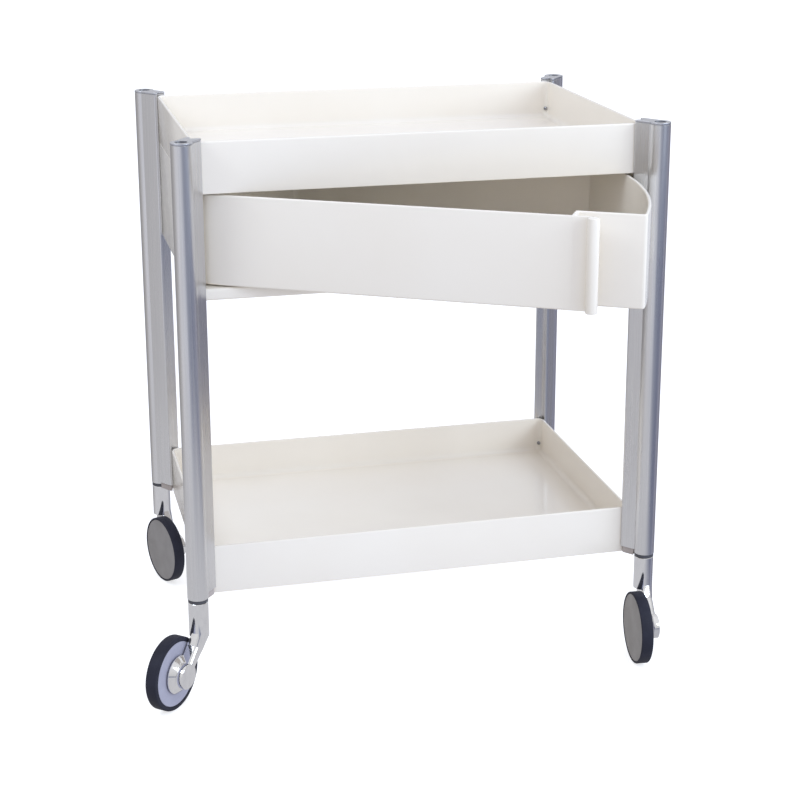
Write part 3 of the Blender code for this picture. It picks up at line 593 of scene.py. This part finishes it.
def arm_outline():
    head, along = arm_line()
    inner_r = HUB_R - 0.0006
    bearing = degrees(atan2(-along.y, -along.x))
    spread = degrees(acos(ARM_HALF_W / inner_r)) * 0.6
    hub_arc = arc((TRAIL, WHEEL_R), inner_r, bearing + spread, bearing + 360 - spread, 44)
    across = Vector((along.y, -along.x)) * ARM_HALF_W
    foot, rise = head - across, head + across
    lift = 0.008
    points = [*hub_arc, tuple(foot), (foot.x, foot.y + lift), (rise.x, rise.y + lift), tuple(rise)]
    radii = [0.010, *([0] * (len(hub_arc) - 2)), 0.010, 0, 0, 0, 0]
    return fillet(points, radii, 6)


def shoulder_mesh():
    """The blend from the stem's round foot into the arm's bevelled section."""
    head, along = arm_line()
    middle, across = head + along * SHOULDER_RUN, Vector((along.y, -along.x))
    work = bmesh.new()
    for z in SHOULDER_Z:
        for across_s, n in arc((0, 0), STEM_R - SKIN, 0, 360, 96)[:-1]:
            if n > STEM_STEP_N:
                work.verts.new((across_s, n, z))
    for width, n in ((ARM_HALF_W - SKIN, ARM_INNER + SKIN), (ARM_HALF_W - SKIN, ARM_OUTER - ARM_BEVEL),
                     (ARM_HALF_W - ARM_BEVEL, ARM_OUTER - SKIN)):
        for side in (-1, 1):
            at = middle + across * side * width
            work.verts.new((at.x, n, at.y))
    hull = bmesh.ops.convex_hull(work, input=work.verts)
    spare = {item for key in ("geom_interior", "geom_unused") for item in hull[key]
             if isinstance(item, bmesh.types.BMVert)}
    bmesh.ops.delete(work, geom=list(spare), context="VERTS")
    return finish_mesh(work, "shoulder", 30)


def hub_mesh():
    """The flange's cone beside the wheel, narrowing to the short cylinder with the flat face."""
    profile = [(0.0, HUB_OUTER), *reversed(arc((HUB_R - HUB_EDGE, HUB_OUTER - HUB_EDGE), HUB_EDGE, 0, 90, 4)),
               (HUB_R, NECK_N + 0.0010), (HUB_R + 0.0003, NECK_N + 0.0005), (HUB_R + 0.0008, NECK_N + 0.0002),
               (NECK_R, NECK_N), (FLANGE_R - 0.0003, HUB_INNER + FLANGE_T + 0.0002),
               (FLANGE_R, HUB_INNER + FLANGE_T - 0.0002),
               (FLANGE_R, HUB_INNER + 0.0003), (FLANGE_R - 0.0003, HUB_INNER), (0.0, HUB_INNER)]
    return turned("hub", profile, 128, LEG_SHARP_DEG)


def across_trail(offset):
    return Matrix(((1, 0, 0, 0), (0, 0, 1, offset), (0, 1, 0, 0), (0, 0, 0, 1)))


def leg_mesh():
    """Stem, bevelled arm, shoulder and hub in one, about the swivel axis, with the axle's hole from the inside."""
    pin_top, pin_edge, top_edge, foot_r = STEM_TOP_Z + 0.045, 0.001, 0.0005, 0.0045
    stem = turned("stem", [(0.0, pin_top), (STEM_PIN_R - pin_edge, pin_top), (STEM_PIN_R, pin_top - pin_edge),
                           (STEM_PIN_R, STEM_TOP_Z), (STEM_R - top_edge, STEM_TOP_Z),
                           (STEM_R, STEM_TOP_Z - top_edge),
                           *reversed(arc((STEM_R - foot_r, STEM_FOOT_Z + foot_r), foot_r, -90, 0, 6)),
                           (0.0, STEM_FOOT_Z)], 96)
    beyond = 0.02
    step_plan = [(-beyond, -beyond), (beyond, -beyond), (beyond, STEM_STEP_N), (-beyond, STEM_STEP_N)]
    step = loft("step", slab_rings(step_plan, STEM_FOOT_Z - 0.01, STEM_STEP_Z, 0.0004, 1))
    outline = arm_outline()
    thick = ARM_OUTER - ARM_INNER
    rings = [flat_ring(grown(outline, -0.0006), 0.0), flat_ring(outline, 0.0006)]
    for k in range(7):
        t = k / 6
        inset, below = ARM_BEVEL * (t * 0.75 + 0.25 * t * t), ARM_BEVEL * (1 - t) ** 1.25
        rings.append(flat_ring(grown(outline, -inset), thick - below))
    arm = loft("arm", rings, LEG_SHARP_DEG)
    hole_end = thick - 0.004
    hole = turned("hole", [(0.0, -beyond), (AXLE_HOLE_R, -beyond), (AXLE_HOLE_R, hole_end), (0.0, hole_end)], 40)
    in_arm = across_trail(ARM_INNER)
    wheel_axis = Matrix.Translation((TRAIL, 0, WHEEL_R)) @ LIE
    made = cut_mesh(stem, [(step, HERE)], angle_deg=LEG_SHARP_DEG)
    joined = [(arm, in_arm), (shoulder_mesh(), HERE), (hub_mesh(), wheel_axis)]
    made = cut_mesh(made, joined, "UNION", LEG_SHARP_DEG)
    hole_at = in_arm @ Matrix.Translation((TRAIL, WHEEL_R, 0))
    return cut_mesh(made, [(hole, hole_at)], angle_deg=LEG_SHARP_DEG)


def wheel_meshes():
    """Disc, cover, tyre and axle about the wheel's own axis; +Z of each is turned to the arm's side."""
    face, back, outer = WHEEL_INNER, WHEEL_OUTER + 0.0020, WHEEL_OUTER + 0.0004
    tip, head, axle_edge = WHEEL_INNER - 0.011, ARM_OUTER - 0.0045 - GAP, 0.0005
    disc = [(0.0, tip - 0.0006), (AXLE_HOLE_R, tip - 0.0006), (AXLE_HOLE_R, face), (DISC_R - 0.0006, face),
            (DISC_R - 0.0001, face - 0.0005), (DISC_R, face - 0.002), (DISC_R, back + GAP), (0.0, back + GAP)]
    cover = [(0.0, back), (COVER_R, back), (COVER_R, outer + 0.0008), (COVER_R - 0.0003, outer + 0.0002),
             (COVER_R - 0.0010, outer), (0.0, outer)]
    edge = [(WHEEL_R - TREAD_EDGE * (1 - sin(radians(a))), WHEEL_INNER - TREAD_EDGE * (1 - cos(radians(a))))
            for a in (0, 30, 60, 90)]
    other = [(r, WHEEL_OUTER + WHEEL_INNER - z) for r, z in reversed(edge)]
    tyre = [(DISC_R + GAP, WHEEL_INNER), *edge, *other, (COVER_R + GAP, WHEEL_OUTER),
            (COVER_R + GAP, back + GAP), (DISC_R + GAP, back + GAP)]
    axle = [(0.0, head), (AXLE_R - axle_edge, head), (AXLE_R, head - axle_edge), (AXLE_R, tip + axle_edge),
            (AXLE_R - axle_edge, tip), (0.0, tip)]
    return {"wheel_disc": (turned("disc", disc, 128), "disc_lavender"),
            "wheel_cover": (turned("cover", cover, 128), "cover_grey"),
            "tyre": (turned("tyre", tyre, 160), "tyre_black"),
            "axle": (turned("axle", axle, 40), "steel")}


def build_casters():
    leg = leg_mesh()
    wheel = wheel_meshes()
    ring = flat_washer(STEM_PIN_R + GAP, TUBE_R - 0.0006, STEM_TOP_Z + GAP, POST_FOOT_Z - GAP, 0.0005)
    for name, heading in HEADINGS.items():
        centre = tube_centre(CORNERS[name])
        turn = Matrix.Rotation(radians(heading), 4, "Z")
        add_piece(f"collar_{name}_moulded", turned(f"collar_{name}", ring, 96), "collar_black", "frame",
                  f"collar_{name}", at=(*centre, 0))
        add_piece(f"caster_leg_{name}_forged", leg.copy(), "chrome", f"caster_{name}", f"caster_leg_{name}",
                  at=(*centre, 0), turn=turn)
        hub = Vector((*centre, 0)) + turn @ Vector((TRAIL, 0, WHEEL_R))
        for part, (mesh, slot) in wheel.items():
            body = f"caster_{name}" if part == "axle" else f"wheel_{name}"
            add_piece(f"{part}_{name}_fine", mesh.copy(), slot, body, f"{part}_{name}", at=hub, turn=turn @ LIE)


# Stage ---------------------------------------------------------------------------------------------------------

CAMERA_AT = Vector((-0.5641, -2.4065, 1.1445))
CAMERA_YAW_DEG, CAMERA_PITCH_DEG, CAMERA_FOCUS_PX = 14.08, 16.31, 1785.3
CAMERA_SHIFT_PX = (16, -64)
FRAME_PX = 800
# The studio's walls below the horizon, by degrees from the camera's side toward its right, as gloss sees them.
WALL_STOPS = [(-180, (0.80, 0.82, 0.90)), (-168, (0.74, 0.74, 0.76)), (-130, (0.33, 0.32, 0.32)),
              (-92, (0.50, 0.49, 0.49)), (-60, (0.78, 0.78, 0.82)), (-8, (0.70, 0.72, 0.79)),
              (18, (0.24, 0.265, 0.36)), (60, (0.165, 0.18, 0.27)), (84, (0.17, 0.18, 0.27)),
              (98, (0.42, 0.43, 0.52)), (114, (0.24, 0.24, 0.31)), (150, (0.30, 0.30, 0.33)),
              (170, (0.74, 0.76, 0.84))]
CEILING_LOW, CEILING_HIGH = (0.70, 0.70, 0.70), (1.0, 1.0, 1.0)
# Soft light runs from a dim warm end, behind the trolley's left, to a bright cool end at its front right.
SOFT_ALONG, SOFT_SPAN = (0.60, -0.35, 0.48), (-0.80, 0.60)
SOFT_DIM, SOFT_BRIGHT = (0.42, 0.39, 0.355), (0.965, 1.045, 1.27)
TABLE_AT, TABLE_HALF, TABLE_FADE, TABLE_GLOW = (-0.42, -0.40), (1.05, 0.95), 0.40, (0.68, 0.68, 0.70)

# Name, place, aim, size, watts and colour.
LIGHTS = [("key", (1.7, -2.0, 1.4), (0.0, 0.0, 0.50), (1.3, 1.0), 25, (0.79, 0.90, 1.0)),
          ("left_fill", (-1.9, -0.7, 2.2), (-0.3, 0.0, 0.65), (0.9, 0.9), 15, (0.80, 0.89, 1.0))]


def build_camera():
    data = bpy.data.cameras.new("camera")
    data.sensor_width = 36.0
    data.lens = CAMERA_FOCUS_PX / FRAME_PX * data.sensor_width
    data.shift_x, data.shift_y = -CAMERA_SHIFT_PX[0] / FRAME_PX, CAMERA_SHIFT_PX[1] / FRAME_PX
    data.clip_end = 200.0
    camera = bpy.data.objects.new("camera", data)
    bpy.context.scene.collection.objects.link(camera)
    yaw, pitch = radians(CAMERA_YAW_DEG), radians(CAMERA_PITCH_DEG)
    look = Vector((sin(yaw) * cos(pitch), cos(yaw) * cos(pitch), -sin(pitch)))
    camera.location = SHIFT + CAMERA_AT
    camera.rotation_euler = look.to_track_quat("-Z", "Y").to_euler()
    bpy.context.scene.camera = camera


def flat_plane(name, half):
    work = bmesh.new()
    bmesh.ops.create_grid(work, x_segments=1, y_segments=1, size=1.0)
    bmesh.ops.scale(work, vec=(*half, 1.0), verts=work.verts)
    mesh = bpy.data.meshes.new(name)
    work.to_mesh(mesh)
    work.free()
    plane = bpy.data.objects.new(name, mesh)
    bpy.context.scene.collection.objects.link(plane)
    return plane, mesh


def build_floor():
    """A white floor for the camera alone: diffuse and glossy rays pass through it to the studio below."""
    floor, mesh = flat_plane("floor", (60.0, 60.0))
    floor.location.z = -0.0002
    made, n, shader = new_material("floor_white", Roughness=0.9, Specular_IOR_Level=0.0)
    shader.inputs["Base Color"].default_value = (0.6, 0.6, 0.6, 1.0)
    shader.inputs["Emission Color"].default_value = (1.0, 1.0, 1.0, 1.0)
    shader.inputs["Emission Strength"].default_value = 0.68
    mesh.materials.append(made)
    floor.visible_glossy = False
    floor.visible_diffuse = False


def build_table():
    """The pale table round the trolley as gloss sees it: bright near the casters, fading out at its edges."""
    table, mesh = flat_plane("table", TABLE_HALF)
    table.location = SHIFT + Vector((*TABLE_AT, -0.0001))
    made = bpy.data.materials.new("table_glow")
    made.use_nodes = True
    n = Nodes(made.node_tree)
    made.node_tree.nodes.remove(made.node_tree.nodes["Principled BSDF"])
    split = n.add("ShaderNodeSeparateXYZ")
    n.link(n.add("ShaderNodeTexCoord").outputs["Object"], split.inputs["Vector"])
    fades = [n.ramp(n.math("ABSOLUTE", split.outputs[axis]), half - TABLE_FADE, half, 1.0, 0.0)
             for axis, half in zip("XY", TABLE_HALF)]
    glow, clear = n.add("ShaderNodeEmission"), n.add("ShaderNodeBsdfTransparent")
    both = n.add("ShaderNodeMixShader")
    glow.inputs["Color"].default_value = (*TABLE_GLOW, 1.0)
    n.link(n.math("MULTIPLY", *fades), both.inputs["Fac"])
    n.link(clear.outputs["BSDF"], both.inputs[1])
    n.link(glow.outputs["Emission"], both.inputs[2])
    n.link(both.outputs["Shader"], made.node_tree.nodes["Material Output"].inputs["Surface"])
    mesh.materials.append(made)
    table.visible_camera = table.visible_diffuse = table.visible_transmission = table.visible_shadow = False


def build_world():
    """A soft studio: diffuse light is brightest from the front right; gloss sees the walls and the ceiling."""
    world = bpy.data.worlds.new("studio")
    world.use_nodes = True
    bpy.context.scene.world = world
    n = Nodes(world.node_tree)
    background = world.node_tree.nodes["Background"]
    place = n.add("ShaderNodeTexCoord")
    split = n.add("ShaderNodeSeparateXYZ")
    n.link(place.outputs["Generated"], split.inputs["Vector"])
    yaw = radians(CAMERA_YAW_DEG)
    aside = n.math("ADD", n.math("MULTIPLY", split.outputs["X"], cos(yaw)),
                   n.math("MULTIPLY", split.outputs["Y"], -sin(yaw)))
    toward = n.math("ADD", n.math("MULTIPLY", split.outputs["X"], -sin(yaw)),
                    n.math("MULTIPLY", split.outputs["Y"], -cos(yaw)))
    bearing = n.math("ARCTAN2", aside, toward)
    ramp = n.add("ShaderNodeValToRGB")
    ramp.color_ramp.interpolation = "EASE"
    elements = ramp.color_ramp.elements
    while len(elements) < len(WALL_STOPS):
        elements.new(0.5)
    for element, (angle, colour) in zip(elements, WALL_STOPS):
        element.position = (angle + 180) / 360
        element.color = (*colour, 1.0)
    n.link(n.ramp(bearing, -pi, pi, 0.0, 1.0), ramp.inputs["Fac"])
    ceiling = n.mix(n.ramp(split.outputs["Z"], 0.0, 1.0, 0.0, 1.0), CEILING_LOW, CEILING_HIGH)
    gloss = n.mix(n.ramp(split.outputs["Z"], -0.02, 0.06, 0.0, 1.0), ramp.outputs["Color"], ceiling)
    parts = [n.math("MULTIPLY", split.outputs[axis], share) for axis, share in zip("XYZ", SOFT_ALONG)]
    along = n.math("ADD", n.math("ADD", parts[0], parts[1]), parts[2])
    soft = n.mix(n.ramp(along, *SOFT_SPAN, 0.0, 1.0), SOFT_DIM, SOFT_BRIGHT)
    path = n.add("ShaderNodeLightPath")
    light = n.mix(path.outputs["Is Glossy Ray"], soft, gloss)
    n.link(n.mix(path.outputs["Is Camera Ray"], light, (1.0, 1.0, 1.0)), background.inputs["Color"])


def add_area(name, at, aim, size, energy, colour):
    data = bpy.data.lights.new(name, "AREA")
    data.shape, data.size, data.size_y = "RECTANGLE", *size
    data.energy, data.color = energy, colour
    lamp = bpy.data.objects.new(name, data)
    bpy.context.scene.collection.objects.link(lamp)
    lamp.location = SHIFT + Vector(at)
    lamp.rotation_euler = (Vector(aim) - Vector(at)).to_track_quat("-Z", "Y").to_euler()


for tray, rim in (("top_tray", TOP_RIM_Z), ("lower_tray", LOWER_RIM_Z)):
    build_tray(tray, rim)
build_screws()
for corner_name, corner_signs in CORNERS.items():
    build_post(corner_name, corner_signs)
build_bay()
build_pivot()
build_drawer()
build_casters()
build_camera()
build_floor()
build_table()
build_world()
for light in LIGHTS:
    add_area(*light)
bpy.context.scene.view_settings.view_transform = "Standard"
